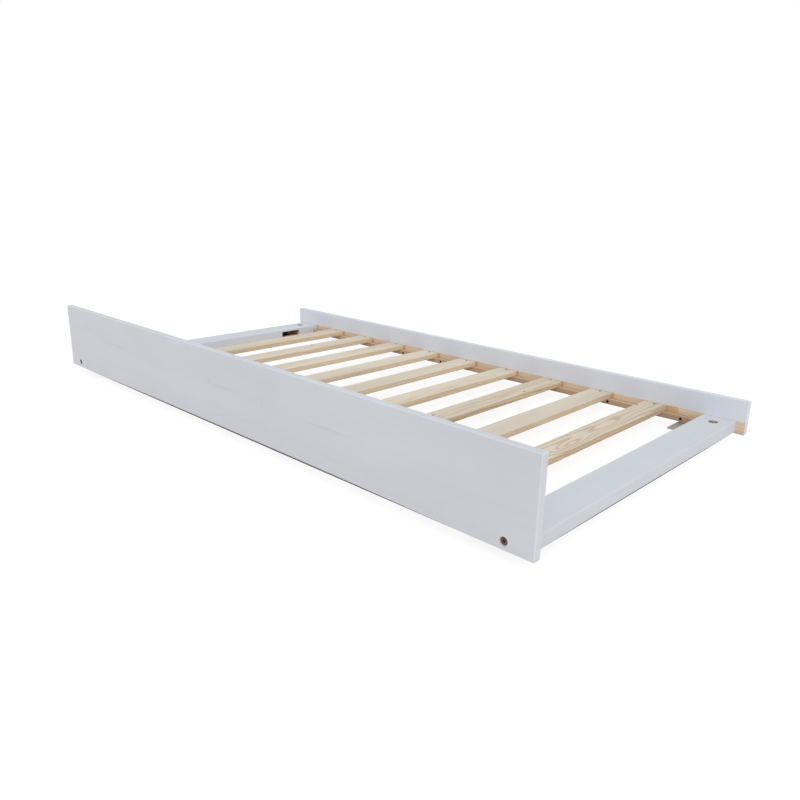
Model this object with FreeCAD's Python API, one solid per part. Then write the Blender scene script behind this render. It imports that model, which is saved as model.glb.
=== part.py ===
"""Trundle bed: a low slatted frame on four rollers that pulls out from under a daybed.

Units are millimetres.  X runs along the bed, Y from the tall front panel to the low
back board, Z up.  The origin is on the floor, under the middle of the bed.
"""
import FreeCAD, Part
import math
import os

V = FreeCAD.Vector
X_AXIS = V(1, 0, 0)
Y_AXIS = V(0, 1, 0)
Z_AXIS = V(0, 0, 1)

# ---- overall size ----
LENGTH = 1900.0              # both long boards are this long
INNER_WIDTH = 976.0          # between the long boards: a 965 mm (38 in) mattress and some play
BOARD_THICK = 19.0           # both long boards
PANEL_CLEARANCE = 22.0       # floor to the front panel's bottom edge
PANEL_HEIGHT = 203.0
BACK_HEIGHT = 94.0
BACK_DROP = 7.0              # the back board hangs this far below the panel's bottom edge

# ---- mattress deck ----
DECK_ABOVE_PANEL_BOTTOM = 28.0
SLAT_COUNT = 9
SLAT_WIDTH = 70.0
SLAT_THICK = 16.0
SLAT_PITCH = 174.4
SLAT_END_PLAY = 1.0          # each slat end stops this short of the long board
LEDGER_DEPTH = 20.0
LEDGER_HEIGHT = 16.0

# ---- end rails, lying flat ----
RAIL_WIDTH = 88.0
RAIL_THICK = 32.0
RAIL_INSET = 25.0            # rail's outer face to the ends of the long boards

# ---- bolted corner joints ----
BOLT_ABOVE_PANEL_BOTTOM = 18.0
BOLT_FROM_END = 66.0         # from the long boards' ends
BOLT_SHANK_R = 3.0
BOLT_HEAD_R = 7.5
BOLT_HEAD_THICK = 4.0
BOLT_HEAD_EDGE_R = 0.8
BOLT_TIP_CHAMFER = 0.6
BOLT_SOCKET_FLATS = 5.0
BOLT_SOCKET_DEPTH = 3.0
BOLT_HOLE_R = 3.5
COUNTERBORE_R = 9.0
COUNTERBORE_DEPTH = 6.0
NUT_HOLE_R = 12.7            # blind hole in the rail's top that holds the washer and nut
NUT_HOLE_DEPTH = 24.0
NUT_HOLE_FROM_BOARD = 52.0
NUT_FLATS = 10.0
NUT_THICK = 5.0
NUT_BORE_PLAY = 0.05         # bolt or axle in a nut's or washer's bore
WASHER_HEIGHT = 14.0
WASHER_PLAY = 0.2
BOLT_PAST_NUT = 3.0
DOWEL_R = 4.0
DOWEL_IN_BOARD = 12.0
DOWEL_IN_RAIL = 28.0
DOWEL_OFFSET = 28.0          # each side of the bolt, along X
DOWEL_PLAY = 0.1
DOWEL_END_PLAY = 0.5
DOWEL_CHAMFER = 1.0

# ---- wood screws ----
SCREW_SHANK_R = 2.0
SCREW_HEAD_R = 4.0
SCREW_HEAD_THICK = 2.6
SCREW_TIP = 4.0
SCREW_PLAY = 0.1
CROSS_LENGTH = 4.4
CROSS_WIDTH = 0.9
CROSS_DEPTH = 1.5
SLAT_SCREW_LENGTH = 28.0
SLAT_SCREW_FROM_BOARD = 10.0
LEDGER_SCREW_LENGTH = 34.0
LEDGER_SCREW_OFFSETS = (111.5, 300.0, 557.0, 783.0)    # each side of the bed's middle
PLATE_SCREW_LENGTH = 14.0
COUNTERSUNK_LAND = 0.4       # straight rim above the cone
PAN_HEAD_THICK = 2.2
PAN_HEAD_BEVEL = 1.2
ROLLER_SCREW_LENGTH = 22.0

# ---- steel corner plates under the frame ----
PLATE_THICK = 2.5
PLATE_X = 100.0
PLATE_Y = 94.0
PLATE_INBOARD = 58.0         # how far a plate reaches inboard of the end rail
PLATE_FROM_BOARD = 3.0
PLATE_CORNER_R = 2.0
PLATE_RAIL_SCREW_X = 22.0    # into the rail, outboard of its inner face
PLATE_RAIL_SCREW_Y = (40.0, 82.0)
PLATE_LEDGER_SCREW_X = (15.0, 42.0)
PLATE_LEDGER_SCREW_Y = 10.0

# ---- rollers, in pockets cut into the end rails ----
ROLLER_TO_MIDDLE = 12.0      # each wheel sits this far from its pocket's middle, towards the bed's middle
WHEEL_R = 20.0
WHEEL_WIDTH = 20.0
WHEEL_EDGE_R = 2.5
WHEEL_RIM = 4.5
WHEEL_HUB_R = 8.5
WHEEL_RECESS = 5.0
WHEEL_BORE_PLAY = 0.05
WHEEL_SIDE_PLAY = 0.5
SPOKE_COUNT = 6
SPOKE_THICK = 2.4
POCKET_LENGTH = 88.0
POCKET_FROM_BOARD = 95.0
POCKET_DEPTH = 50.0          # from the rail's inner face, outboard
POCKET_ROOF = 7.0            # wood left above the pocket
POCKET_WEB = 4.0             # wood left below the pocket, around the wheel's slot
SLOT_LENGTH = 50.0           # through the web, along the wheel
SLOT_DEPTH = 30.0            # from the pocket's floor, inboard
AXLE_R = 4.0
AXLE_TENON_R = 3.0
AXLE_COLLAR_R = 7.0
AXLE_COLLAR = 2.0
AXLE_HEAD_R = 6.0
AXLE_HEAD = 2.0
ROLLER_WASHER_R = 8.0
ROLLER_WASHER_THICK = 1.0
ROLLER_PLATE_THICK = 2.5
ROLLER_PLATE_LENGTH = 60.0
ROLLER_PLATE_TOP_GAP = 3.0   # below the pocket's roof
ROLLER_PLATE_WEB_GAP = 0.5   # above the web
ROLLER_TONGUE_LENGTH = 40.0  # the plate's lower part, which goes down through the slot
ROLLER_TONGUE_DROP = 6.0     # below the rail's underside
ROLLER_PLATE_CORNER_R = 3.0
ROLLER_SCREW_SPREAD = 24.0   # each side of the axle
ROLLER_SCREW_ABOVE_RAIL_BOTTOM = 14.0

# ---- eased edges ----
BOARD_EDGE_R = 1.6
RAIL_EDGE_R = 1.6
SLAT_EDGE_R = 1.4
LEDGER_EDGE_R = 0.8

# ---- derived ----
FRONT_Y = -(INNER_WIDTH / 2.0 + BOARD_THICK)
FRONT_INNER_Y = -INNER_WIDTH / 2.0
BACK_INNER_Y = INNER_WIDTH / 2.0
PANEL_BOTTOM = PANEL_CLEARANCE
DECK_Z = PANEL_BOTTOM + DECK_ABOVE_PANEL_BOTTOM
SLAT_BOTTOM = DECK_Z - SLAT_THICK
RAIL_BOTTOM = DECK_Z - RAIL_THICK
LEDGER_BOTTOM = SLAT_BOTTOM - LEDGER_HEIGHT
BOLT_Z = PANEL_BOTTOM + BOLT_ABOVE_PANEL_BOTTOM
RAIL_MID_Z = DECK_Z - RAIL_THICK / 2.0
RAIL_OUTER_X = LENGTH / 2.0 - RAIL_INSET
RAIL_INNER_X = RAIL_OUTER_X - RAIL_WIDTH
BOLT_X = LENGTH / 2.0 - BOLT_FROM_END
POCKET_FLOOR_X = RAIL_INNER_X + POCKET_DEPTH
POCKET_TOP = DECK_Z - POCKET_ROOF
WEB_TOP = RAIL_BOTTOM + POCKET_WEB
POCKET_MID_Y = BACK_INNER_Y - POCKET_FROM_BOARD - POCKET_LENGTH / 2.0
AXLE_Y = POCKET_MID_Y - ROLLER_TO_MIDDLE
PLATE_TOP = RAIL_BOTTOM
AXLE_Z = WHEEL_R
AXLE_SHOULDER = ROLLER_PLATE_THICK + AXLE_COLLAR
WHEEL_OUT = AXLE_SHOULDER + WHEEL_SIDE_PLAY
WASHER_AT = WHEEL_OUT + WHEEL_WIDTH + WHEEL_SIDE_PLAY
HEAD_AT = WASHER_AT + ROLLER_WASHER_THICK

SIDES = (("left", -1), ("right", 1))
ENDS = (("front", -1), ("back", 1))


def block(x0, x1, y0, y1, z0, z1, edge_r=0.0):
    """A box between two corners, given in any order, with its edges rounded."""
    low = V(min(x0, x1), min(y0, y1), min(z0, z1))
    box = Part.makeBox(abs(x1 - x0), abs(y1 - y0), abs(z1 - z0), low)
    if edge_r > 0.0:
        box = box.makeFillet(edge_r, box.Edges)
    return box


def fuse_all(shapes):
    """One solid from overlapping pieces, with the seams between them removed."""
    return shapes[0].multiFuse(shapes[1:]).removeSplitter()


def save(node, shape):
    """Write one sub-part, after checking that it is sound."""
    if not shape.isValid():
        raise RuntimeError("bad shape: " + node)
    shape.exportStep("parts/" + node + ".step")
    print(node, len(shape.Solids), "solid(s),", round(shape.Volume), "mm3")


def save_group(node, shapes):
    """Write several separate solids as one sub-part."""
    save(node, Part.makeCompound(shapes))


# ---- fasteners, each built along +Z with its head's top face at the origin ----

def cross_recess():
    """The cross-shaped driver recess in a screw head."""
    bars = []
    for angle in (45.0, 135.0):
        bar = block(-CROSS_LENGTH / 2, CROSS_LENGTH / 2, -CROSS_WIDTH / 2, CROSS_WIDTH / 2, -CROSS_DEPTH, 1.0)
        bar.rotate(V(0, 0, 0), Z_AXIS, angle)
        bars.append(bar)
    return bars[0].fuse(bars[1])


def turned(outline):
    """A solid of revolution about Z from (radius, height) points on one side of the axis."""
    points = [V(r, 0, z) for r, z in outline]
    face = Part.Face(Part.makePolygon(points + [points[0]]))
    return face.revolve(V(0, 0, 0), Z_AXIS, 360.0)


def countersunk_blank(length, play=0.0):
    """A countersunk screw's outer shape, pointing down; play makes the hole it sits in."""
    shank = SCREW_SHANK_R + play
    head = SCREW_HEAD_R + play
    return turned([(0, 0), (head, 0), (head, -COUNTERSUNK_LAND), (shank, -SCREW_HEAD_THICK - play),
                   (shank, -length + SCREW_TIP), (0, -length - play)])


def pan_head_blank(length, play=0.0):
    """A pan-head screw's outer shape, pointing down, with the head's underside at the origin."""
    shank = SCREW_SHANK_R + play
    head = SCREW_HEAD_R + play
    return turned([(0, PAN_HEAD_THICK), (head - PAN_HEAD_BEVEL, PAN_HEAD_THICK),
                   (head, PAN_HEAD_THICK - PAN_HEAD_BEVEL), (head, 0),
                   (shank, 0), (shank, -length + SCREW_TIP), (0, -length - play)])


def aim(shape, direction, place):
    """Turn a fastener that points down -Z so it points along direction, and put it in place."""
    turned_shape = shape.copy()
    rotation = FreeCAD.Rotation(V(0, 0, -1), direction)
    turned_shape.Placement = FreeCAD.Placement(place, rotation)
    return turned_shape


def hex_prism(flats, height, bottom):
    """A hexagonal prism along Z from its width across flats."""
    radius = flats / math.sqrt(3.0)
    corners = [V(radius * math.cos(math.radians(a)), radius * math.sin(math.radians(a)), bottom)
               for a in range(30, 390, 60)]
    return Part.Face(Part.makePolygon(corners + [corners[0]])).extrude(V(0, 0, height))


COUNTERSUNK_RECESS = cross_recess()


def slat_x(index):
    """Middle of a slat, counted from 0 at the left."""
    return (index - (SLAT_COUNT - 1) / 2.0) * SLAT_PITCH


# ---- where each kind of screw goes: (head position, direction) ----

def slat_screw_spots(end):
    y = end * (INNER_WIDTH / 2.0 - SLAT_SCREW_FROM_BOARD)
    return [(V(slat_x(i), y, DECK_Z), V(0, 0, -1)) for i in range(SLAT_COUNT)]


def ledger_screw_spots(end):
    y = end * (INNER_WIDTH / 2.0 - LEDGER_DEPTH)
    z = LEDGER_BOTTOM + LEDGER_HEIGHT / 2.0
    return [(V(side * off, y, z), V(0, end, 0)) for side in (-1, 1) for off in LEDGER_SCREW_OFFSETS]


def plate_screw_spots(side, end):
    """Two screws up into the end rail and two up into the ledger, for one corner plate."""
    z = PLATE_TOP - PLATE_THICK
    board = INNER_WIDTH / 2.0
    rail = [(RAIL_INNER_X + PLATE_RAIL_SCREW_X, board - y) for y in PLATE_RAIL_SCREW_Y]
    ledger = [(RAIL_INNER_X - x, board - PLATE_LEDGER_SCREW_Y) for x in PLATE_LEDGER_SCREW_X]
    return [(V(side * x, end * y, z), V(0, 0, 1)) for x, y in rail + ledger]


def roller_screw_spots(side, end):
    """Two pan-head screws through a roller plate, pointing outboard into the pocket's floor."""
    x = side * (POCKET_FLOOR_X - ROLLER_PLATE_THICK)
    z = RAIL_BOTTOM + ROLLER_SCREW_ABOVE_RAIL_BOTTOM
    mid = end * AXLE_Y
    return [(V(x, mid + s * ROLLER_SCREW_SPREAD, z), V(side, 0, 0)) for s in (-1, 1)]


def screws(spots, length):
    driven = countersunk_blank(length).cut(COUNTERSUNK_RECESS)
    return [aim(driven, direction, place) for place, direction in spots]


def screw_holes(spots, length):
    blank = countersunk_blank(length, SCREW_PLAY)
    return [aim(blank, direction, place) for place, direction in spots]


# ---- bolted corner joint ----

def bolt_y(end, distance_outboard):
    """Y of a point this far outboard of the long board's inner face."""
    return end * (INNER_WIDTH / 2.0 + distance_outboard)


def bolt_hole(side, end):
    """Counterbore and clearance hole through a long board and into the end rail."""
    outer = V(side * BOLT_X, bolt_y(end, BOARD_THICK + 1.0), BOLT_Z)
    inward = V(0, -end, 0)
    counterbore = Part.makeCylinder(COUNTERBORE_R, COUNTERBORE_DEPTH + 1.0, outer, inward)
    reach = BOARD_THICK + 1.0 + NUT_HOLE_FROM_BOARD
    return counterbore.fuse(Part.makeCylinder(BOLT_HOLE_R, reach, outer, inward))


def bolt_tail():
    """The bolt runs past the nut's inner face, in from the long board's inner face."""
    return NUT_HOLE_FROM_BOARD + BOLT_PAST_NUT


def bolt_tail_hole(side, end):
    """Hole that lets the bolt's tail cross the nut hole."""
    start = V(side * BOLT_X, bolt_y(end, 0), BOLT_Z)
    return Part.makeCylinder(BOLT_HOLE_R, bolt_tail() + 1.0, start, V(0, -end, 0))


def corner_bolt(side, end):
    """Flat-head bolt with a hex socket, its head at the bottom of the counterbore."""
    shank_length = BOARD_THICK - COUNTERBORE_DEPTH + bolt_tail()
    head = Part.makeCylinder(BOLT_HEAD_R, BOLT_HEAD_THICK)
    rim = [e for e in head.Edges if e.BoundBox.ZMin > BOLT_HEAD_THICK - 0.1 and e.BoundBox.ZLength < 0.1]
    head = head.makeFillet(BOLT_HEAD_EDGE_R, rim)
    shank = Part.makeCylinder(BOLT_SHANK_R, shank_length, V(0, 0, -shank_length))
    tip = [e for e in shank.Edges if e.BoundBox.ZMax < -shank_length + 0.1]
    shank = shank.makeChamfer(BOLT_TIP_CHAMFER, tip)
    bolt = fuse_all([head, shank])
    socket = hex_prism(BOLT_SOCKET_FLATS, BOLT_SOCKET_DEPTH + 1.0, BOLT_HEAD_THICK - BOLT_SOCKET_DEPTH)
    seat = V(side * BOLT_X, bolt_y(end, BOARD_THICK - COUNTERBORE_DEPTH), BOLT_Z)
    return aim(bolt.cut(socket), V(0, -end, 0), seat)


def nut_hole(side, end):
    """Blind hole in the rail's top face where the washer and the nut are dropped in."""
    place = V(side * BOLT_X, bolt_y(end, -NUT_HOLE_FROM_BOARD), DECK_Z - NUT_HOLE_DEPTH)
    return Part.makeCylinder(NUT_HOLE_R, NUT_HOLE_DEPTH + 1.0, place)


def crescent_washer(side, end):
    """A slice of a cylinder that fits the nut hole's wall and gives the nut a flat seat."""
    radius = NUT_HOLE_R - WASHER_PLAY
    centre_y = bolt_y(end, -NUT_HOLE_FROM_BOARD)
    low = V(side * BOLT_X, centre_y, BOLT_Z - WASHER_HEIGHT / 2.0)
    drum = Part.makeCylinder(radius, WASHER_HEIGHT, low)
    x = side * BOLT_X
    past = NUT_HOLE_R + 1.0
    cut_away = block(x - past, x + past, centre_y + end * NUT_THICK, centre_y - end * past,
                     BOLT_Z - WASHER_HEIGHT, BOLT_Z + WASHER_HEIGHT)
    bore = Part.makeCylinder(BOLT_HOLE_R, 2.0 * past, V(x, centre_y - past, BOLT_Z), Y_AXIS)
    return drum.cut(cut_away).cut(bore)


def corner_nut(side, end):
    """Hex nut between the washer's flat face and the middle of the nut hole."""
    nut = hex_prism(NUT_FLATS, NUT_THICK, 0.0)
    nut = nut.cut(Part.makeCylinder(BOLT_SHANK_R + NUT_BORE_PLAY, NUT_THICK + 2.0, V(0, 0, -1)))
    place = V(side * BOLT_X, bolt_y(end, -NUT_HOLE_FROM_BOARD + NUT_THICK), BOLT_Z)
    return aim(nut, V(0, end, 0), place)


def dowel(side, end, offset, play=0.0, end_play=0.0):
    """Wooden dowel across the joint between a long board and an end rail."""
    length = DOWEL_IN_BOARD + DOWEL_IN_RAIL + 2.0 * end_play
    start = V(side * BOLT_X + offset, bolt_y(end, DOWEL_IN_BOARD + end_play), RAIL_MID_Z)
    pin = Part.makeCylinder(DOWEL_R + play, length, start, V(0, -end, 0))
    if play == 0.0:
        rims = [e for e in pin.Edges if e.BoundBox.YLength < 0.1]
        pin = pin.makeChamfer(DOWEL_CHAMFER, rims)
    return pin


def dowel_holes(side, end):
    return [dowel(side, end, off, DOWEL_PLAY, DOWEL_END_PLAY) for off in (-DOWEL_OFFSET, DOWEL_OFFSET)]


# ---- boards ----

def long_board(end, bottom, height):
    """Front panel (end -1) or back board (end +1), bored for its bolts, dowels and screws."""
    board = block(-LENGTH / 2, LENGTH / 2, bolt_y(end, 0), bolt_y(end, BOARD_THICK),
                  bottom, bottom + height, BOARD_EDGE_R)
    tools = screw_holes(ledger_screw_spots(end), LEDGER_SCREW_LENGTH)
    for _, side in SIDES:
        tools.append(bolt_hole(side, end))
        tools += dowel_holes(side, end)
    return board.cut(tools)


def ledger(end):
    """Strip screwed to the inside of a long board, carrying the slat ends."""
    inner = bolt_y(end, 0)
    bar = block(-RAIL_INNER_X, RAIL_INNER_X, inner - end * LEDGER_DEPTH, inner,
                LEDGER_BOTTOM, SLAT_BOTTOM, LEDGER_EDGE_R)
    tools = screw_holes(ledger_screw_spots(end), LEDGER_SCREW_LENGTH)
    tools += screw_holes(slat_screw_spots(end), SLAT_SCREW_LENGTH)
    for _, side in SIDES:
        tools += screw_holes(plate_screw_spots(side, end), PLATE_SCREW_LENGTH)
    return bar.cut(tools)


def slat(index):
    """One cross slat, resting on both ledgers."""
    x = slat_x(index)
    reach = INNER_WIDTH / 2.0 - SLAT_END_PLAY
    board = block(x - SLAT_WIDTH / 2, x + SLAT_WIDTH / 2, -reach, reach, SLAT_BOTTOM, DECK_Z, SLAT_EDGE_R)
    tools = []
    for _, end in ENDS:
        tools += screw_holes([slat_screw_spots(end)[index]], SLAT_SCREW_LENGTH)
    return board.cut(tools)


def roller_pocket(side, end):
    """Pocket open at the rail's inner face, with a slot down through its web for the wheel."""
    mid = end * POCKET_MID_Y
    axle = end * AXLE_Y
    floor = side * POCKET_FLOOR_X
    pocket = block(side * (RAIL_INNER_X - 1.0), floor, mid - POCKET_LENGTH / 2, mid + POCKET_LENGTH / 2,
                   WEB_TOP, POCKET_TOP)
    slot = block(floor - side * SLOT_DEPTH, floor, axle - SLOT_LENGTH / 2, axle + SLOT_LENGTH / 2,
                 RAIL_BOTTOM - 1.0, WEB_TOP + 1.0)
    return pocket.fuse(slot)


def end_rail(side):
    """Flat rail across one end of the bed, between the two long boards."""
    rail = block(side * RAIL_INNER_X, side * RAIL_OUTER_X, FRONT_INNER_Y, BACK_INNER_Y,
                 RAIL_BOTTOM, DECK_Z)
    long_edges = [e for e in rail.Edges if e.BoundBox.YLength > INNER_WIDTH / 2]
    rail = rail.makeFillet(RAIL_EDGE_R, long_edges)
    tools = []
    for _, end in ENDS:
        tools.append(roller_pocket(side, end))
        tools.append(nut_hole(side, end))
        tools.append(bolt_tail_hole(side, end))
        tools += dowel_holes(side, end)
        tools += screw_holes(plate_screw_spots(side, end), PLATE_SCREW_LENGTH)
        blank = pan_head_blank(ROLLER_SCREW_LENGTH, SCREW_PLAY)
        tools += [aim(blank, direction, place) for place, direction in roller_screw_spots(side, end)]
    return rail.cut(tools)


# ---- corner plates ----

def corner_plate(side, end):
    """Flat steel plate under one corner, tying the end rail to the ledger."""
    x0 = side * (RAIL_INNER_X - PLATE_INBOARD)
    y0 = end * (INNER_WIDTH / 2.0 - PLATE_FROM_BOARD)
    plate = block(x0, x0 + side * PLATE_X, y0, y0 - end * PLATE_Y, PLATE_TOP - PLATE_THICK, PLATE_TOP)
    uprights = [e for e in plate.Edges if e.BoundBox.ZLength > PLATE_THICK / 2]
    plate = plate.makeFillet(PLATE_CORNER_R, uprights)
    return plate.cut(screw_holes(plate_screw_spots(side, end), PLATE_SCREW_LENGTH))


# ---- rollers, built along +Z from the pocket's floor and then laid along X ----

def lay_in_pocket(shape, side, end):
    """Turn a roller piece's +Z inboard and put its base on the pocket's floor, on the axle line."""
    laid = shape.copy()
    place = V(side * POCKET_FLOOR_X, end * AXLE_Y, AXLE_Z)
    laid.Placement = FreeCAD.Placement(place, FreeCAD.Rotation(Z_AXIS, V(-side, 0, 0)))
    return laid


def roller_plate(side, end):
    """Upright T-shaped steel plate on the pocket's floor, whose tongue holds the stub axle."""
    x0 = side * POCKET_FLOOR_X
    x1 = x0 - side * ROLLER_PLATE_THICK
    mid = end * AXLE_Y
    bar = block(x0, x1, mid - ROLLER_PLATE_LENGTH / 2, mid + ROLLER_PLATE_LENGTH / 2,
                WEB_TOP + ROLLER_PLATE_WEB_GAP, POCKET_TOP - ROLLER_PLATE_TOP_GAP)
    tongue = block(x0, x1, mid - ROLLER_TONGUE_LENGTH / 2, mid + ROLLER_TONGUE_LENGTH / 2,
                   RAIL_BOTTOM - ROLLER_TONGUE_DROP, POCKET_TOP - ROLLER_PLATE_TOP_GAP)
    plate = fuse_all([bar, tongue])
    corners = [e for e in plate.Edges if e.BoundBox.XLength > ROLLER_PLATE_THICK / 2]
    plate = plate.makeFillet(ROLLER_PLATE_CORNER_R, corners)
    through = 4.0 * ROLLER_PLATE_THICK
    tenon = Part.makeCylinder(AXLE_TENON_R, through, V(0, 0, -through / 2))
    tools = [lay_in_pocket(tenon, side, end)]
    for place, _ in roller_screw_spots(side, end):
        start = place - V(through, 0, 0)
        tools.append(Part.makeCylinder(SCREW_SHANK_R + SCREW_PLAY, 2.0 * through, start, X_AXIS))
    return plate.cut(tools)


def roller_axle(side, end):
    """Stub axle: a tenon in the plate, a collar, the wheel's journal and a rivet head."""
    outline = [(0, 0), (AXLE_TENON_R, 0), (AXLE_TENON_R, ROLLER_PLATE_THICK),
               (AXLE_COLLAR_R, ROLLER_PLATE_THICK), (AXLE_COLLAR_R, AXLE_SHOULDER),
               (AXLE_R, AXLE_SHOULDER), (AXLE_R, HEAD_AT), (AXLE_HEAD_R, HEAD_AT),
               (AXLE_HEAD_R, HEAD_AT + AXLE_HEAD / 2), (AXLE_HEAD_R - 1.0, HEAD_AT + AXLE_HEAD),
               (0, HEAD_AT + AXLE_HEAD)]
    return lay_in_pocket(turned(outline), side, end)


def roller_washer(side, end):
    """Thin washer between the wheel and the rivet head."""
    ring = Part.makeCylinder(ROLLER_WASHER_R, ROLLER_WASHER_THICK, V(0, 0, WASHER_AT))
    bore = Part.makeCylinder(AXLE_R + NUT_BORE_PLAY, 3.0 * ROLLER_WASHER_THICK, V(0, 0, HEAD_AT - 2.0))
    ring = ring.cut(bore)
    return lay_in_pocket(ring, side, end)


def roller_wheel(side, end):
    """Plastic wheel with a rounded tread, a hub, a thin web and spokes on both faces."""
    base = WHEEL_OUT
    drum = Part.makeCylinder(WHEEL_R, WHEEL_WIDTH, V(0, 0, base))
    rims = [e for e in drum.Edges if e.BoundBox.ZLength < 0.1]
    drum = drum.makeFillet(WHEEL_EDGE_R, rims)
    ring_r = WHEEL_R - WHEEL_RIM
    for low in (base - 1.0, base + WHEEL_WIDTH - WHEEL_RECESS):
        recess = Part.makeCylinder(ring_r, WHEEL_RECESS + 1.0, V(0, 0, low))
        recess = recess.cut(Part.makeCylinder(WHEEL_HUB_R, WHEEL_RECESS + 1.0, V(0, 0, low)))
        for i in range(SPOKE_COUNT):
            spoke = block(WHEEL_HUB_R - 2.0, ring_r + 2.0, -SPOKE_THICK / 2, SPOKE_THICK / 2,
                          low, low + WHEEL_RECESS + 1.0)
            spoke.rotate(V(0, 0, 0), Z_AXIS, i * 360.0 / SPOKE_COUNT)
            recess = recess.cut(spoke)
        drum = drum.cut(recess)
    bore = Part.makeCylinder(AXLE_R + WHEEL_BORE_PLAY, WHEEL_WIDTH + 4.0, V(0, 0, base - 2.0))
    return lay_in_pocket(drum.cut(bore), side, end)


def main():
    os.makedirs("parts", exist_ok=True)
    save("front_panel", long_board(-1, PANEL_BOTTOM, PANEL_HEIGHT))
    save("back_board", long_board(1, PANEL_BOTTOM - BACK_DROP, BACK_HEIGHT))
    for i in range(SLAT_COUNT):
        save("slat_%d" % (i + 1), slat(i))
    for name, side in SIDES:
        save(name + "_end_rail", end_rail(side))

    for name, end in ENDS:
        save(name + "_ledger", ledger(end))
        save_group(name + "_slat_screws", screws(slat_screw_spots(end), SLAT_SCREW_LENGTH))
        save_group(name + "_ledger_screws", screws(ledger_screw_spots(end), LEDGER_SCREW_LENGTH))
        save_group(name + "_bolts", [corner_bolt(side, end) for _, side in SIDES])

    corners = [(end_name + "_" + side_name, side, end) for end_name, end in ENDS for side_name, side in SIDES]
    pan_head = pan_head_blank(ROLLER_SCREW_LENGTH).cut(
        COUNTERSUNK_RECESS.translated(V(0, 0, PAN_HEAD_THICK)))
    plate_screws = []
    roller_screws = []
    for name, side, end in corners:
        save("corner_plate_" + name, corner_plate(side, end))
        save("roller_plate_" + name, roller_plate(side, end))
        save("roller_axle_" + name, roller_axle(side, end))
        save("roller_wheel_" + name, roller_wheel(side, end))
        plate_screws += screws(plate_screw_spots(side, end), PLATE_SCREW_LENGTH)
        for place, direction in roller_screw_spots(side, end):
            roller_screws.append(aim(pan_head, direction, place))
    save_group("corner_plate_screws", plate_screws)
    save_group("roller_plate_screws", roller_screws)
    save_group("roller_washers", [roller_washer(side, end) for _, side, end in corners])
    save_group("crescent_washers", [crescent_washer(side, end) for _, side, end in corners])
    save_group("corner_nuts", [corner_nut(side, end) for _, side, end in corners])
    save_group("rail_dowels", [dowel(side, end, off) for _, side, end in corners
                               for off in (-DOWEL_OFFSET, DOWEL_OFFSET)])


main()
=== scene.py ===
"""Looks for the trundle bed: painted boards, bare pine slats, steel and plastic fittings."""
import math
import bpy
from mathutils import Matrix, Vector


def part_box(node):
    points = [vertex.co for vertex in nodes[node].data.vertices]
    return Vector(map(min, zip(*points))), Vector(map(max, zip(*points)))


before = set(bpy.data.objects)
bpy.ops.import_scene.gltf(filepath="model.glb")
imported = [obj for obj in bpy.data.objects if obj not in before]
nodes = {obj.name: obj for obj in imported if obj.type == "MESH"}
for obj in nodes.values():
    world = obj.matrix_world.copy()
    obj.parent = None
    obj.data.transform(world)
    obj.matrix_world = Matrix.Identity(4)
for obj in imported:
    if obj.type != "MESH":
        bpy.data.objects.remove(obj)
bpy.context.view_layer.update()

# ---------------------------------------------------------------- camera and stage
CAMERA_AT = Vector((1.5454, -1.4729, 0.6490))
CAMERA_AZIMUTH = 43.72          # degrees the view turns left of +Y
CAMERA_ELEVATION = 16.86        # degrees it looks down
CAMERA_ROLL = 1.22
CAMERA_LENS = 32.40             # mm
SENSOR_WIDTH = 36.0             # mm
FLOOR_SIZE = 14.0
FLOOR_BOUNCE = (0.84, 0.775, 0.76)    # what the floor throws back up at the bed
FLOOR_SEEN = (0.22, 0.22, 0.22)
FLOOR_GLOW = 0.86
WORLD_TINT = (0.955, 0.995, 1.02)
WORLD_STRENGTH = 0.72
KEY_TOWARDS = (0.70, -0.45, 0.60)
KEY_SPREAD = 70.0               # degrees across
KEY_STRENGTH = 0.75

# ---------------------------------------------------------------- where things are, in metres
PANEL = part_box("front_panel")
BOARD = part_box("back_board")
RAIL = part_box("right_end_rail")
DECK_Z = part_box("slat_5")[1].z
SLAT_HALF = (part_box("slat_5")[1].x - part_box("slat_5")[0].x) / 2
SLAT_COUNT = 9
FRONT_INNER_Y = PANEL[1].y
BACK_INNER_Y = BOARD[0].y
POCKET_FROM_BOARD = 0.095
POCKET_LENGTH = 0.088
POCKET_ROOF = 0.007
NUT_HOLE_R = 0.0127
NUT_HOLE_DEPTH = 0.024
NUT_THICK = 0.005
BOLT_HEAD_R = 0.0075


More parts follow.
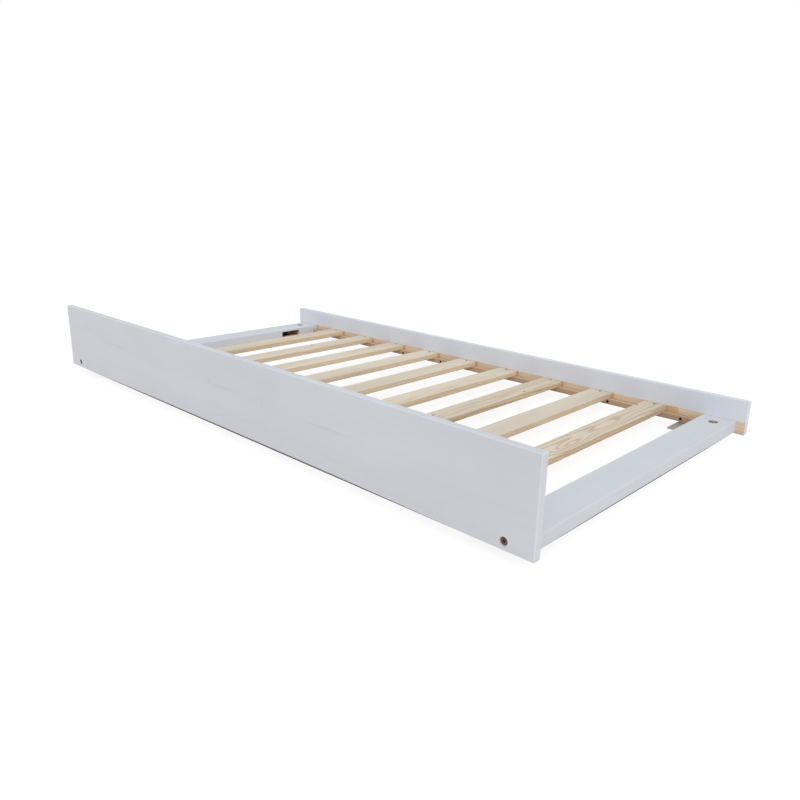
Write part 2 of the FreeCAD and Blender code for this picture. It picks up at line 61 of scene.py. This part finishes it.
class Graph:
    """Short ways to add shader nodes to one material."""

    def __init__(self, name):
        self.material = bpy.data.materials.new(name)
        self.material.use_nodes = True
        self.tree = self.material.node_tree
        self.tree.nodes.clear()
        self.shader = self.tree.nodes.new("ShaderNodeBsdfPrincipled")
        output = self.tree.nodes.new("ShaderNodeOutputMaterial")
        self.tree.links.new(self.shader.outputs["BSDF"], output.inputs["Surface"])
        self.coords = self.tree.nodes.new("ShaderNodeTexCoord").outputs["Object"]

    def put(self, socket, value):
        """Link a socket, or set its value."""
        if isinstance(value, bpy.types.NodeSocket):
            self.tree.links.new(value, socket)
        else:
            socket.default_value = value

    def math(self, operation, a, b=None, clamp=False):
        node = self.tree.nodes.new("ShaderNodeMath")
        node.operation = operation
        node.use_clamp = clamp
        self.put(node.inputs[0], a)
        if b is not None:
            self.put(node.inputs[1], b)
        return node.outputs[0]

    def times(self, a, b):
        return self.math("MULTIPLY", a, b)

    def plus(self, a, b):
        return self.math("ADD", a, b)

    def split(self, vector):
        node = self.tree.nodes.new("ShaderNodeSeparateXYZ")
        self.put(node.inputs[0], vector)
        return node.outputs[0], node.outputs[1], node.outputs[2]

    def join(self, x, y, z):
        node = self.tree.nodes.new("ShaderNodeCombineXYZ")
        for socket, value in zip(node.inputs, (x, y, z)):
            self.put(socket, value)
        return node.outputs[0]

    def stretch(self, scale):
        """Object coordinates, each axis multiplied by its own scale."""
        node = self.tree.nodes.new("ShaderNodeMapping")
        self.put(node.inputs["Vector"], self.coords)
        node.inputs["Scale"].default_value = scale
        return node.outputs[0]

    def noise(self, vector, scale=1.0, detail=3.0, roughness=0.5):
        node = self.tree.nodes.new("ShaderNodeTexNoise")
        self.put(node.inputs["Vector"], vector)
        node.inputs["Scale"].default_value = scale
        node.inputs["Detail"].default_value = detail
        node.inputs["Roughness"].default_value = roughness
        return node.outputs["Fac"]

    def ramp(self, factor, stops):
        node = self.tree.nodes.new("ShaderNodeValToRGB")
        self.put(node.inputs[0], factor)
        ramp = node.color_ramp
        while len(ramp.elements) < len(stops):
            ramp.elements.new(1.0)
        for element, (place, colour) in zip(ramp.elements, stops):
            element.position = place
            element.color = (*colour, 1.0)
        return node.outputs[0]

    def range(self, value, low, high, to_low=0.0, to_high=1.0, smooth=False):
        node = self.tree.nodes.new("ShaderNodeMapRange")
        node.interpolation_type = "SMOOTHSTEP" if smooth else "LINEAR"
        for socket, v in zip(node.inputs, (value, low, high, to_low, to_high)):
            self.put(socket, v)
        return node.outputs[0]

    def mix(self, factor, a, b, blend="MIX"):
        node = self.tree.nodes.new("ShaderNodeMix")
        node.data_type = "RGBA"
        node.blend_type = blend
        self.put(node.inputs["Factor"], factor)
        for name, value in (("A", a), ("B", b)):
            socket = [s for s in node.inputs if s.name == name and s.type == "RGBA"][0]
            self.put(socket, (*value, 1.0) if isinstance(value, tuple) else value)
        return [s for s in node.outputs if s.type == "RGBA"][0]

    def bump(self, height, strength, distance):
        node = self.tree.nodes.new("ShaderNodeBump")
        node.inputs["Strength"].default_value = strength
        node.inputs["Distance"].default_value = distance
        self.put(node.inputs["Height"], height)
        return node.outputs[0]

    def finish(self, colour, roughness, normal=None, metallic=0.0, specular=0.5):
        self.put(self.shader.inputs["Base Color"], colour)
        self.put(self.shader.inputs["Roughness"], roughness)
        self.shader.inputs["Metallic"].default_value = metallic
        self.shader.inputs["Specular IOR Level"].default_value = specular
        if normal is not None:
            self.put(self.shader.inputs["Normal"], normal)
        return self.material


# ---------------------------------------------------------------- wood

RING_PROFILE = ((0.0, 0.30), (0.10, 0.0), (0.45, 0.10), (0.90, 1.0), (1.0, 0.30))    # darkness over a ring
TONE_SHADES = ((0.28, (0.90, 0.885, 0.87)), (0.50, (1.0, 0.985, 0.965)), (0.72, (1.07, 1.07, 1.075)))
RESIN_DASH = (0.30, 0.17, 0.08)
KNOT_HALO = (0.42, 0.24, 0.11)
KNOT_HEART = (0.15, 0.075, 0.035)
SMUDGE = (0.16, 0.10, 0.06)


def grain_noise(g, axes, shift, along, across, detail=3.0, roughness=0.5):
    """Noise stretched along the grain; along and across are its frequencies per metre."""
    a, b, c = axes
    place = g.join(g.times(a, along), g.plus(g.times(b, across), shift), g.times(c, across))
    return g.noise(place, 1.0, detail, roughness)


def board_axes(g, along):
    """Coordinates as (along the grain, across the wide face, through it).

    "X" and "Y" are flat boards with the grain along that axis; "XZ" is a board on edge."""
    x, y, z = g.split(g.coords)
    return {"X": (x, y, z), "Y": (y, x, z), "XZ": (x, z, y)}[along]


def spots(g, a, b, places):
    """The strongest of several soft oval spots, each (a, b, half length, half width)."""
    strongest = None
    for place_a, place_b, length, width in places:
        da = g.times(g.plus(a, -place_a), 1.0 / length)
        db = g.times(g.plus(b, -place_b), 1.0 / width)
        square = g.plus(g.times(da, da), g.times(db, db))
        bell = g.math("POWER", math.e, g.times(square, -1.0))
        strongest = bell if strongest is None else g.math("MAXIMUM", strongest, bell)
    return strongest


def growth_rings(g, axes, look):
    """Growth-ring phase where the board cuts through rings around a tilted, wandering pith."""
    a, b, c = axes
    slow = grain_noise(g, axes, look["seed"], 2.2, 4.0, 2.0)
    wander = g.times(g.plus(slow, -0.5), look["wander"])
    across = g.plus(g.plus(b, -look["pith_across"]), wander)
    depth = g.plus(g.plus(c, -look["pith_depth"]), g.times(a, look["tilt"]))
    radius = g.math("SQRT", g.plus(g.times(across, across), g.times(depth, depth)))
    fine = grain_noise(g, axes, look["seed"], 9.0, 60.0)
    radius = g.plus(radius, g.times(g.plus(fine, -0.5), 0.0030))
    phase = g.times(radius, 1.0 / look["spacing"])
    for (place_a, place_b, length, width), rings in look["swirls"]:
        hill = spots(g, a, b, [(place_a, place_b, length, width)])
        phase = g.plus(phase, g.times(hill, rings))
    return phase


def pine_surface(g, along, look):
    """Colour, roughness and bump height of bare pine."""
    axes = board_axes(g, along)
    a, b = axes[:2]
    seed = look["seed"]
    phase = growth_rings(g, axes, look)
    knot = spots(g, a, b, look["knots"]) if look["knots"] else None
    if knot is not None:
        phase = g.plus(phase, g.times(knot, 2.6))
    ring = g.math("FRACT", phase)
    late = g.ramp(ring, [(place, (level,) * 3) for place, level in RING_PROFILE])
    patch = grain_noise(g, axes, seed + 7.0, 3.0, 14.0)
    late = g.times(g.times(late, g.range(patch, 0.3, 0.7, 0.40, 1.0)), look["contrast"])

    fibre = grain_noise(g, axes, seed, 11.0, 900.0, 2.0, 0.6)
    streak = grain_noise(g, axes, seed + 3.0, 4.0, 150.0)
    dash = grain_noise(g, axes, seed, 60.0, 1300.0, 1.0)
    tone_place = g.join(g.times(a, 1.6), g.plus(g.times(b, 9.0), seed + 1.0), g.times(axes[2], 2.0))
    tone = g.noise(tone_place, 1.0, 2.0)

    colour = g.mix(late, look["early"], look["late"])
    colour = g.mix(g.range(streak, 0.38, 0.72, 0.0, 0.60), colour, look["streak"])
    colour = g.mix(g.range(fibre, 0.35, 0.7, 0.0, 0.22), colour, look["late"])
    colour = g.mix(g.range(dash, 0.66, 0.76, 0.0, 0.30), colour, RESIN_DASH)
    if knot is not None:
        colour = g.mix(g.range(knot, 0.20, 0.75, 0.0, 0.55, smooth=True), colour, KNOT_HALO)
        colour = g.mix(g.range(knot, 0.62, 0.84, 0.0, 0.90, smooth=True), colour, KNOT_HEART)
    if look["marks"]:
        mark = g.range(spots(g, a, b, look["marks"]), 0.30, 0.75, 0.0, 0.80, smooth=True)
        colour = g.mix(mark, colour, SMUDGE)
    colour = g.mix(1.0, colour, g.ramp(tone, TONE_SHADES), "MULTIPLY")

    roughness = g.range(g.plus(late, g.times(fibre, 0.6)), 0.2, 1.2, 0.70, 0.52)
    height = g.plus(g.times(fibre, 0.6), g.times(late, 0.5))
    return colour, roughness, height


def arris(g, box):
    """1 on the edges where two faces of a box-shaped part meet, 0 on its faces."""
    inset = []
    for value, low, high in zip(g.split(g.coords), box[0], box[1]):
        from_middle = g.math("ABSOLUTE", g.plus(value, -(low + high) / 2))
        inset.append(g.math("SUBTRACT", (high - low) / 2, from_middle))
    smaller = g.math("MINIMUM", inset[0], inset[1])
    larger = g.math("MAXIMUM", inset[0], inset[1])
    middle = g.math("MAXIMUM", smaller, g.math("MINIMUM", larger, inset[2]))
    return g.range(middle, 0.0024, 0.0006, smooth=True)


PINE = dict(seed=1.0, pith_across=0.0, pith_depth=-0.10, tilt=0.0, wander=0.03, spacing=0.0075,
            contrast=0.75, swirls=(), knots=(), marks=(), early=(0.89, 0.810, 0.685),
            late=(0.62, 0.455, 0.285), streak=(0.82, 0.720, 0.575))


def pine(name, along, box, side_tint=(1.0, 1.0, 1.0), **changes):
    """Bare sanded pine; side_tint multiplies the colour on a flat board's narrow sides, which also get a
    painted shade line along their lower edge.
    """
    look = dict(PINE, **changes)
    g = Graph(name)
    colour, roughness, height = pine_surface(g, along, look)
    across = board_axes(g, along)[1]
    low, high = (box[0].y, box[1].y) if along == "X" else (box[0].x, box[1].x)
    from_middle = g.math("ABSOLUTE", g.plus(across, -(low + high) / 2))
    side = g.range(from_middle, (high - low) / 2 - 0.0010, (high - low) / 2 - 0.0003)
    colour = g.mix(side, colour, g.mix(1.0, colour, side_tint, "MULTIPLY"))
    # painted shade: a dark line along the lowest few millimetres of the narrow sides
    above = g.plus(g.split(g.coords)[2], -box[0].z)
    lower_shade_line = g.times(g.times(side, g.range(above, 0.0042, 0.0008, smooth=True)), 0.40)
    colour = g.mix(lower_shade_line, colour, look["late"])
    colour = g.mix(g.times(arris(g, box), 0.16), colour, look["late"])
    normal = g.bump(height, 0.35, 0.0006)
    return g.finish(colour, roughness, normal, specular=0.35)


PAINT_LOW = (0.735, 0.745, 0.785)
PAINT_HIGH = (0.775, 0.785, 0.825)
PAINT_SHADE = (0.58, 0.585, 0.625)      # where grain, streaks and knots show through
ARRIS_HIGHLIGHT = (0.85, 0.855, 0.875)       # painted highlight where the eased arrises catch the light
PAINT_CHIP = (0.56, 0.44, 0.31)         # pine that shows where an arris is worn
SLAT_SHADOW_TINT = (0.90, 0.76, 0.56)        # painted shadow of a slat: multiplies the bare pine right beside it
BESIDE_SLAT_WIDTH = 0.008
BESIDE_LAST_SLAT_WIDTH = 0.033
RECESS_SHADE = (0.62, 0.52, 0.40)          # painted shade: multiplies the bare pine inside a pocket or a hole
# painted shadow line along the lower outer edges of the panel and rails
EDGE_SHADOW_COLOUR = (0.050, 0.046, 0.048)


def painted_surface(g, along, seed, flaws, tint):
    """Colour, roughness and bump height of white paint over pine."""
    axes = board_axes(g, along)
    look = dict(PINE, seed=seed, pith_across=0.10, pith_depth=-0.60, spacing=0.0100, wander=0.10)
    ring = g.math("FRACT", growth_rings(g, axes, look))
    grain = g.ramp(ring, [(0.0, (0.3,) * 3), (0.2, (0.0,) * 3), (0.85, (1.0,) * 3), (1.0, (0.3,) * 3)])
    patch = grain_noise(g, axes, seed, 2.4, 9.0)
    grain = g.times(grain, g.range(patch, 0.42, 0.72, 0.0, 1.0))
    streak = grain_noise(g, axes, seed + 5.0, 3.0, 60.0, 4.0)
    cloud = grain_noise(g, axes, seed + 11.0, 3.0, 8.0, 4.0)
    fibre = grain_noise(g, axes, seed, 14.0, 700.0, 2.0)
    peel = g.noise(g.coords, 420.0, 2.0)

    colour = g.ramp(cloud, [(0.30, PAINT_LOW), (0.70, PAINT_HIGH)])
    colour = g.mix(g.times(grain, 0.08), colour, PAINT_SHADE)
    colour = g.mix(g.range(streak, 0.50, 0.72, 0.0, 0.07), colour, PAINT_SHADE)
    if flaws:
        flaw = g.range(spots(g, axes[0], axes[1], flaws), 0.10, 0.9, 0.0, 0.24, smooth=True)
        colour = g.mix(flaw, colour, PAINT_SHADE)
    colour = g.mix(1.0, colour, tint, "MULTIPLY")
    roughness = g.range(g.plus(cloud, g.times(fibre, 0.5)), 0.4, 1.1, 0.38, 0.52)
    height = g.plus(g.plus(g.times(fibre, 0.35), g.times(grain, 0.5)), g.times(peel, 0.25))
    return colour, roughness, height


def between(g, value, low, high, soft=0.0003):
    """1 where low < value < high, with a narrow soft edge."""
    rise = g.range(value, low - soft, low + soft)
    fall = g.range(value, high - soft, high + soft, 1.0, 0.0)
    return g.times(rise, fall)


def painted_board(name, along, box, seed, bare, shade, flaws=(), edge_shadow=None,
                  tint=(1.0, 1.0, 1.0), sheen=0.55):
    """White satin paint over pine.

    bare(g) masks where the pine was left unpainted, shade(g, wood) darkens it there with painted shade,
    grime(g) masks the painted shadow line along the lower edge, tint multiplies the paint and sheen is how
    strong the painted highlight on its arrises is."""
    g = Graph(name)
    colour, roughness, height = painted_surface(g, along, seed, flaws, tint)
    normal = g.bump(height, 0.25, 0.0005)
    edge = arris(g, box)
    chip = g.noise(g.coords, 170.0, 4.0, 0.6)
    # painted highlight along the arrises, as strong as sheen says
    colour = g.mix(g.times(edge, sheen), colour, ARRIS_HIGHLIGHT)
    colour = g.mix(g.times(edge, g.range(chip, 0.66, 0.72, 0.0, 0.55)), colour, PAINT_CHIP)
    mask = bare(g)
    look = dict(PINE, seed=seed + 20.0, spacing=0.0050, pith_across=box[0].y - 0.05,
                early=(0.86, 0.715, 0.550), late=(0.66, 0.480, 0.305), streak=(0.79, 0.620, 0.445))
    wood, wood_roughness = pine_surface(g, along, look)[:2]
    colour = g.mix(mask, colour, shade(g, wood))
    painted = g.math("SUBTRACT", 1.0, mask)
    roughness = g.plus(g.times(roughness, painted), g.times(wood_roughness, mask))
    if edge_shadow is not None:
        colour = g.mix(edge_shadow(g), colour, EDGE_SHADOW_COLOUR)
    return g.finish(colour, roughness, normal, specular=0.5)


def shaded_beside_slats(g, wood):
    """Bare wood with a darker, orange strip at the right of each slat: painted shadow that the slat casts
    on the board.
    """
    x = g.split(g.coords)[0]
    first = slat_x(1) + SLAT_HALF
    pitch = slat_x(2) - slat_x(1)
    past_slat = g.math("FLOORED_MODULO", g.plus(x, -first), pitch)
    last = slat_x(SLAT_COUNT) + SLAT_HALF - 0.001
    width = g.range(x, last, last + 0.0005, BESIDE_SLAT_WIDTH, BESIDE_LAST_SLAT_WIDTH)
    strip = g.range(g.math("SUBTRACT", width, past_slat), -0.0006, 0.0006)
    within_deck = g.range(g.math("ABSOLUTE", x), RAIL[0].x + 0.001, RAIL[0].x)
    return g.mix(g.times(strip, within_deck), wood, g.mix(1.0, wood, SLAT_SHADOW_TINT, "MULTIPLY"))


def shaded_recess(g, wood):
    """Bare wood inside a pocket or a hole, darkened by painted shade as falls in a recess."""
    return g.mix(1.0, wood, RECESS_SHADE, "MULTIPLY")


def shaded_lower_edge(box, reach, height):
    """A painted shadow line on a board's lower outer arris, where it meets the shade under the bed: height
    at its middle, nothing reach away from it.
    """
    def mask(g):
        coordinates = g.split(g.coords)
        long_axis = 0 if box[1].x - box[0].x > box[1].y - box[0].y else 1
        off = g.math("ABSOLUTE", g.times(coordinates[long_axis], 1.0 / reach))
        outer_face = max(abs(box[0][1 - long_axis]), abs(box[1][1 - long_axis]))
        from_centre = g.math("ABSOLUTE", coordinates[1 - long_axis])
        near_side = g.range(from_centre, outer_face - 0.0025, outer_face - 0.0010)
        bow = g.math("SUBTRACT", 1.0, g.math("POWER", off, 3.0), clamp=True)
        ragged = g.noise(g.coords, 60.0, 3.0)
        top = g.plus(g.times(bow, height), g.times(g.plus(ragged, -0.5), 0.0008))
        above = g.plus(coordinates[2], -box[0].z)
        fade = g.times(near_side, g.range(g.math("SUBTRACT", top, above), -0.0002, 0.0004))
        return g.times(fade, g.range(bow, 0.02, 0.25, 0.0, 0.92))
    return mask


def bare_band(inner_y):
    """The unpainted band on a long board's inner face, up to just above the slats' tops."""
    def mask(g):
        x, y, z = g.split(g.coords)
        wave = g.noise(g.join(g.times(x, 30.0), 0.0, 0.0), 1.0, 2.0)
        edge = g.plus(g.times(g.plus(wave, -0.5), 0.0010), DECK_Z + 0.0010)
        below = g.range(g.math("SUBTRACT", edge, z), -0.0003, 0.0003)
        depth = g.math("ABSOLUTE", g.plus(y, -inner_y))
        past_left_rail = g.range(x, -RAIL[1].x - 0.0005, -RAIL[1].x)
        return g.times(g.times(below, g.range(depth, 0.0008, 0.0004)), past_left_rail)
    return mask


def bare_cuts(side):
    """Unpainted wood inside a rail's roller pockets and nut holes, except a painted-light corner of white
    paint on each pocket's end wall.
    """
    pocket_y = BACK_INNER_Y - POCKET_FROM_BOARD - POCKET_LENGTH / 2
    floor_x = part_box("roller_plate_back_right")[1].x
    hole_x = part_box("front_bolts")[1].x - BOLT_HEAD_R
    hole_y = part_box("corner_nuts")[1].y - NUT_THICK

    def mask(g):
        x, y, z = g.split(g.coords)
        outward = g.times(x, side)
        from_middle = g.math("ABSOLUTE", y)
        off_y = g.math("ABSOLUTE", g.plus(from_middle, -pocket_y))
        pocket = g.times(between(g, outward, RAIL[0].x + 0.0006, floor_x + 0.0006),
                         between(g, off_y, -1.0, POCKET_LENGTH / 2 + 0.0006))
        pocket = g.times(pocket, between(g, z, RAIL[0].z + 0.0004, DECK_Z - POCKET_ROOF + 0.0005))
        # painted light: the lower outer corner of each pocket's end wall keeps the white paint, standing
        # in for the lit part of the wall below the shadow of the pocket's roof
        depth = g.plus(outward, -RAIL[0].x)
        below_roof = g.math("SUBTRACT", DECK_Z - POCKET_ROOF, z)
        lit_end_corner = g.range(g.plus(g.times(below_roof, 0.7), g.times(depth, -1.0)), -0.001, 0.001)
        end_wall = g.range(off_y, POCKET_LENGTH / 2 - 0.0010, POCKET_LENGTH / 2 - 0.0005)
        pocket = g.times(pocket, g.math("SUBTRACT", 1.0, g.times(lit_end_corner, end_wall)))
        dx = g.plus(outward, -hole_x)
        dy = g.plus(from_middle, -hole_y)
        radius = g.math("SQRT", g.plus(g.times(dx, dx), g.times(dy, dy)))
        hole = g.times(between(g, radius, -1.0, NUT_HOLE_R + 0.0003),
                       between(g, z, DECK_Z - NUT_HOLE_DEPTH - 0.0005, DECK_Z - 0.0005))
        return g.math("MAXIMUM", pocket, hole)
    return mask


# ---------------------------------------------------------------- metal and plastic

def metal(name, base, dull, roughness, scale=240.0):
    """Plated steel with blotchy dulling and fine scratches."""
    g = Graph(name)
    blotch = g.noise(g.coords, scale, 4.0, 0.6)
    scratch = g.noise(g.stretch((40.0, 1500.0, 1500.0)), 1.0, 2.0)
    colour = g.mix(g.range(blotch, 0.35, 0.7), base, dull)
    rough = g.range(g.plus(blotch, g.times(scratch, 0.4)), 0.4, 1.1, roughness, roughness + 0.22)
    normal = g.bump(g.plus(scratch, blotch), 0.2, 0.0002)
    return g.finish(colour, rough, normal, metallic=1.0)


def moulded_plastic(name):
    """Black nylon with a fine mould texture and dusty scuffs."""
    g = Graph(name)
    grain = g.noise(g.coords, 1400.0, 2.0)
    scuff = g.noise(g.coords, 130.0, 4.0, 0.65)
    colour = g.mix(g.range(scuff, 0.5, 0.75, 0.0, 0.6), (0.018, 0.018, 0.019), (0.10, 0.095, 0.09))
    rough = g.range(scuff, 0.3, 0.8, 0.38, 0.62)
    return g.finish(colour, rough, g.bump(grain, 0.25, 0.0002))


# ---------------------------------------------------------------- put the materials on the parts

def wear(node, material):
    """Give a CAD part this material in each of its slots."""
    part = nodes[node]
    if not part.material_slots:
        part.data.materials.append(material)
    for entry in part.material_slots:
        entry.material = material


def slat_x(number):
    low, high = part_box("slat_%d" % number)
    return (low.x + high.x) / 2


# Grain of each slat.  Places are (along, across, half length, half width) from the slat's middle.
SLAT_LOOKS = {
    1: dict(contrast=0.45, pith_across=0.09, pith_depth=-0.03, early=(0.83, 0.740, 0.615)),
    2: dict(contrast=0.60, pith_across=-0.06, pith_depth=-0.05, marks=((0.217, -0.0135, 0.014, 0.0022),)),
    3: dict(contrast=0.50, pith_across=0.05, pith_depth=-0.09, early=(0.90, 0.820, 0.700)),
    4: dict(contrast=0.45, pith_across=-0.09, pith_depth=-0.06, marks=((0.306, -0.0335, 0.016, 0.0030),)),
    5: dict(contrast=0.55, pith_across=0.07, pith_depth=-0.04, early=(0.90, 0.835, 0.715),
            swirls=(((-0.10, -0.02, 0.22, 0.012), 2.0),)),
    6: dict(contrast=0.60, pith_across=-0.05, pith_depth=-0.07,
            swirls=(((0.15, 0.01, 0.25, 0.012), 2.0),)),
    7: dict(contrast=1.15, pith_across=0.012, pith_depth=-0.020, tilt=0.018, spacing=0.0085,
            early=(0.88, 0.785, 0.650), late=(0.50, 0.325, 0.165),
            swirls=(((0.02, 0.010, 0.20, 0.012), 2.4),),
            knots=((-0.078, -0.0129, 0.006, 0.0045), (0.30, 0.020, 0.005, 0.0035))),
    8: dict(contrast=0.50, pith_across=0.12, pith_depth=-0.02, spacing=0.0060, early=(0.89, 0.825, 0.705),
            marks=((0.050, -0.0350, 0.270, 0.0036),)),
    9: dict(contrast=1.25, pith_across=0.030, pith_depth=-0.030, tilt=0.030, wander=0.05, spacing=0.0090,
            early=(0.88, 0.785, 0.650), late=(0.53, 0.365, 0.205),
            swirls=(((0.000, 0.016, 0.085, 0.017), 3.2), ((0.190, 0.004, 0.120, 0.016), 2.4),
                    ((-0.25, 0.0, 0.10, 0.015), 1.8)),
            knots=((0.431, -0.030, 0.006, 0.0045),)),
}
# the slats' narrow sides are darker, partly from the pine's side grain and partly as painted shade
SLAT_SIDE_TINT = (0.93, 0.85, 0.74)


def dress_slats():
    for number, changes in SLAT_LOOKS.items():
        changes = dict(changes)
        node = "slat_%d" % number
        middle = slat_x(number)
        changes["pith_across"] += middle
        changes["pith_depth"] += DECK_Z
        for kind in ("knots", "marks"):
            changes[kind] = tuple((a, b + middle, length, width)
                                  for a, b, length, width in changes.get(kind, ()))
        changes["swirls"] = tuple(((a, b + middle, length, width), rings)
                                  for (a, b, length, width), rings in changes.get("swirls", ()))
        wear(node, pine("pine_" + node, "Y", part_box(node), SLAT_SIDE_TINT, seed=number * 3.7, **changes))


# Streaks and knots that show through the front panel's paint: (x, z, half length, half height).
PANEL_FLAWS = ((-0.610, 0.143, 0.100, 0.0040), (-0.0716, 0.1396, 0.010, 0.0065),
               (0.005, 0.136, 0.070, 0.0035), (0.405, 0.128, 0.075, 0.0035), (0.162, 0.131, 0.008, 0.0150))
LEDGER_PINE = dict(contrast=1.2, pith_depth=-0.02, spacing=0.0042, early=(0.80, 0.650, 0.490),
                   late=(0.46, 0.265, 0.150), streak=(0.66, 0.470, 0.320))
# painted shade on the ledgers' upright faces, which sit in shadow under the slats
LEDGER_SIDE_TINT = (0.90, 0.84, 0.80)
# painted light: the back board's paint is lighter than the panel's, standing in for the stronger light on
# its face
BACK_BOARD_LIT_TINT = (1.09, 1.11, 1.14)
RAIL_TINT = (0.98, 0.985, 0.99)
RAIL_SHEEN = 0.08


def dress_boards():
    wear("front_panel", painted_board("painted_front_panel", "XZ", PANEL, 2.0, bare_band(FRONT_INNER_Y),
                                      shaded_beside_slats, PANEL_FLAWS, shaded_lower_edge(PANEL, 0.82, 0.0048)))
    wear("back_board", painted_board("painted_back_board", "XZ", BOARD, 9.0, bare_band(BACK_INNER_Y),
                                     shaded_beside_slats, tint=BACK_BOARD_LIT_TINT))
    for name, side in (("left", -1), ("right", 1)):
        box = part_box(name + "_end_rail")
        wear(name + "_end_rail",
             painted_board("painted_%s_rail" % name, "Y", box, 15.0 + side, bare_cuts(side), shaded_recess,
                           edge_shadow=shaded_lower_edge(box, 0.50, 0.0036), tint=RAIL_TINT, sheen=RAIL_SHEEN))
    for name, seed, inner_y in (("front", 31.0, FRONT_INNER_Y), ("back", 43.0, BACK_INNER_Y)):
        node = name + "_ledger"
        wear(node, pine("pine_" + node, "X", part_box(node), LEDGER_SIDE_TINT, seed=seed,
                        pith_across=inner_y, **LEDGER_PINE))
    wear("rail_dowels", pine("pine_dowels", "Y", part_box("rail_dowels"), seed=57.0, spacing=0.003))


def dress_fittings():
    bronze = metal("dark_bronze", (0.260, 0.172, 0.128), (0.110, 0.074, 0.056), 0.42)
    zinc = metal("dull_zinc", (0.66, 0.62, 0.56), (0.53, 0.50, 0.46), 0.40, scale=70.0)
    dark = metal("dark_steel", (0.035, 0.030, 0.028), (0.012, 0.011, 0.011), 0.40)
    wheel = moulded_plastic("black_nylon")
    for name in nodes:
        if name.endswith("_bolts"):
            wear(name, bronze)
        elif name.endswith(("slat_screws", "ledger_screws")):
            wear(name, dark)
        elif name.startswith(("roller_axle", "roller_washers")):
            wear(name, dark)
        elif name.startswith("roller_wheel"):
            wear(name, wheel)
        elif name.startswith(("corner_", "roller_", "crescent_")):
            wear(name, zinc)


# ---------------------------------------------------------------- stage, lights and camera

def camera():
    azimuth = math.radians(CAMERA_AZIMUTH)
    elevation = math.radians(CAMERA_ELEVATION)
    roll = math.radians(CAMERA_ROLL)
    forward = Vector((-math.sin(azimuth) * math.cos(elevation), math.cos(azimuth) * math.cos(elevation),
                      -math.sin(elevation)))
    level_right = Vector((math.cos(azimuth), math.sin(azimuth), 0.0))
    level_down = forward.cross(level_right)
    right = math.cos(roll) * level_right - math.sin(roll) * level_down
    down = math.sin(roll) * level_right + math.cos(roll) * level_down
    turn = Matrix((right, -down, -forward)).transposed()
    data = bpy.data.cameras.new("camera")
    data.lens = CAMERA_LENS
    data.sensor_width = SENSOR_WIDTH
    view = bpy.data.objects.new("camera", data)
    view.matrix_world = Matrix.Translation(CAMERA_AT) @ turn.to_4x4()
    bpy.context.scene.collection.objects.link(view)
    bpy.context.scene.camera = view


def camera_sees(tree, seen, otherwise):
    """A mix of two shaders: seen by the camera itself, otherwise by every other ray."""
    path = tree.nodes.new("ShaderNodeLightPath")
    mix = tree.nodes.new("ShaderNodeMixShader")
    tree.links.new(path.outputs["Is Camera Ray"], mix.inputs["Fac"])
    tree.links.new(otherwise.outputs[0], mix.inputs[1])
    tree.links.new(seen.outputs[0], mix.inputs[2])
    return mix.outputs[0]


def floor():
    """A pale floor. The camera sees it glow a little, so that it reads as seamless white."""
    half = FLOOR_SIZE / 2
    corners = [(-half, -half, 0), (half, -half, 0), (half, half, 0), (-half, half, 0)]
    mesh = bpy.data.meshes.new("floor")
    mesh.from_pydata(corners, [], [(0, 1, 2, 3)])
    plane = bpy.data.objects.new("floor", mesh)
    bpy.context.scene.collection.objects.link(plane)
    g = Graph("pale_floor")
    material = g.finish((*FLOOR_BOUNCE, 1.0), 0.9, specular=0.0)
    seen = g.tree.nodes.new("ShaderNodeBsdfPrincipled")
    seen.inputs["Base Color"].default_value = (*FLOOR_SEEN, 1.0)
    seen.inputs["Roughness"].default_value = 1.0
    seen.inputs["Specular IOR Level"].default_value = 0.0
    seen.inputs["Emission Color"].default_value = (1.0, 1.0, 1.0, 1.0)
    seen.inputs["Emission Strength"].default_value = FLOOR_GLOW
    output = [n for n in g.tree.nodes if n.type == "OUTPUT_MATERIAL"][0]
    g.tree.links.new(camera_sees(g.tree, seen, g.shader), output.inputs["Surface"])
    mesh.materials.append(material)


def soft_light(name, towards, spread, strength):
    """A very wide, distant light, as even along the bed as a large softbox."""
    data = bpy.data.lights.new(name, "SUN")
    data.angle = math.radians(spread)
    data.energy = strength
    lamp = bpy.data.objects.new(name, data)
    lamp.rotation_euler = Vector(towards).to_track_quat("Z", "Y").to_euler()
    bpy.context.scene.collection.objects.link(lamp)


def studio():
    world = bpy.data.worlds.new("studio")
    world.use_nodes = True
    tree = world.node_tree
    background = tree.nodes["Background"]
    background.inputs["Color"].default_value = (*WORLD_TINT, 1.0)
    background.inputs["Strength"].default_value = WORLD_STRENGTH
    seen = tree.nodes.new("ShaderNodeBackground")
    seen.inputs["Color"].default_value = (1.0, 1.0, 1.0, 1.0)
    seen.inputs["Strength"].default_value = 1.0
    mixed = camera_sees(tree, seen, background)
    tree.links.new(mixed, tree.nodes["World Output"].inputs["Surface"])
    bpy.context.scene.world = world
    soft_light("key", KEY_TOWARDS, KEY_SPREAD, KEY_STRENGTH)
    bpy.context.scene.view_settings.view_transform = "Standard"


dress_boards()
dress_slats()
dress_fittings()
floor()
studio()
camera()
